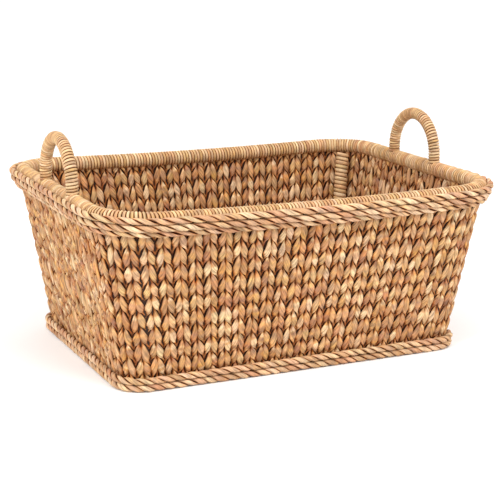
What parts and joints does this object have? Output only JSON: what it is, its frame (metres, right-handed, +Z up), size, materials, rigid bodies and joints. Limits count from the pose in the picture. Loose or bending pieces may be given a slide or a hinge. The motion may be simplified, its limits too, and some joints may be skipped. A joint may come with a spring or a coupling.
{
  "type": "woven storage basket",
  "caption": "Large rectangular basket of woven water hyacinth with flared walls, a wrapped rim, twisted rope trim and fixed hoop handles at both ends.",
  "frame": {"origin": "middle of the footprint, on the surface that the basket stands on", "axes": "+Z up, +X along the length towards the right handle, -Y towards the front"},
  "size_m": [0.6244, 0.4684, 0.3271],
  "materials": {
    "weave": "woven dried water hyacinth, matte with a slight waxy sheen",
    "rope": "two-strand twisted water hyacinth rope, matte",
    "wrap": "tightly wound water hyacinth strand, matte",
    "pole": "round rattan pole, natural skin",
    "wire": "drawn steel wire",
    "dowel": "plain hardwood dowel"
  },
  "bodies": {
    "root": {"base_bar_left": "pole", "base_bar_middle": "pole", "base_bar_right": "pole", "base_panel": "weave", "base_pole": "pole", "base_rope_lower": "rope", "base_rope_upper": "rope", "corner_post_back_left": "pole", "corner_post_back_right": "pole", "corner_post_front_left": "pole", "corner_post_front_right": "pole", "corner_wrap_back_left": "wrap", "corner_wrap_back_right": "wrap", "corner_wrap_front_left": "wrap", "corner_wrap_front_right": "wrap", "handle_core_left": "pole", "handle_core_right": "pole", "handle_pin_left_back": "dowel", "handle_pin_left_front": "dowel", "handle_pin_right_back": "dowel", "handle_pin_right_front": "dowel", "handle_wrap_left": "wrap", "handle_wrap_right": "wrap", "rim_pole": "pole", "rim_rope_lower": "rope", "rim_rope_middle": "rope", "rim_rope_upper": "rope", "rim_wrap_back": "wrap", "rim_wrap_front": "wrap", "rim_wrap_left": "wrap", "rim_wrap_right": "wrap", "wall_back": "weave", "wall_corner_back_left": "weave", "wall_corner_back_right": "weave", "wall_corner_front_left": "weave", "wall_corner_front_right": "weave", "wall_front": "weave", "wall_left": "weave", "wall_right": "weave", "wall_wire_1": "wire", "wall_wire_2": "wire", "wall_wire_3": "wire", "wall_wire_4": "wire", "wall_wire_5": "wire", "wall_wire_6": "wire", "wall_wire_7": "wire", "wall_wire_8": "wire", "wall_wire_9": "wire"}
  },
  "joints": []
}
